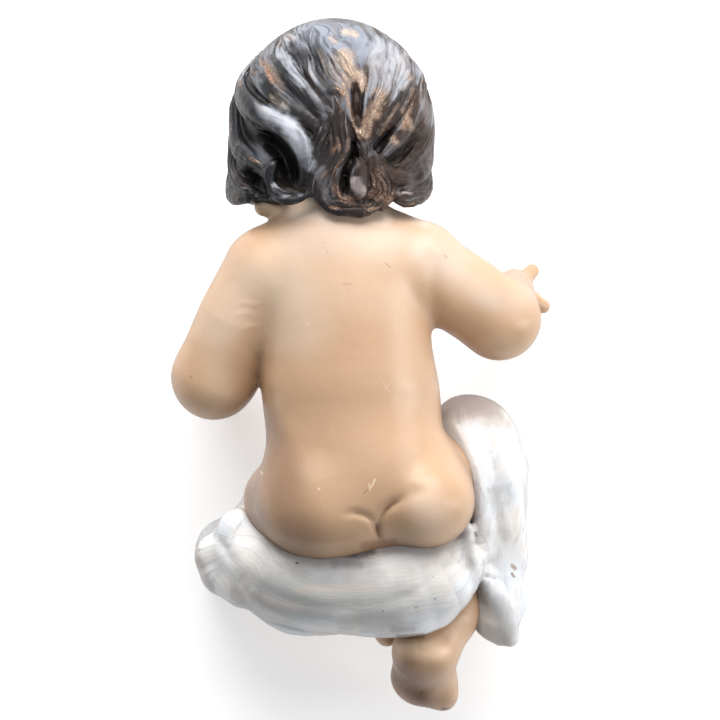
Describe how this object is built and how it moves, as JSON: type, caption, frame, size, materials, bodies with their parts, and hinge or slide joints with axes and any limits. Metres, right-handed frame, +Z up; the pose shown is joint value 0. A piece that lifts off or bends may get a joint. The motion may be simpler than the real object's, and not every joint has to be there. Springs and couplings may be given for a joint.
{
  "type": "infant jesus statue",
  "caption": "Painted one-piece crib figure of a naked infant with dark curls and a white loin cloth, reaching forward.",
  "frame": {"origin": "on the ground, under the middle of the figure's box as it lies on its hands and knees", "axes": "+Z up out of the back, +Y from the toes to the crown, +X to the figure's right side"},
  "size_m": [0.191, 0.347, 0.1347],
  "materials": {
    "painted_plaster": "hand-painted cast plaster: satin skin, varnished dark hair, brushed white cloth"
  },
  "bodies": {
    "root": {"infant_figure": "painted_plaster"}
  },
  "joints": []
}
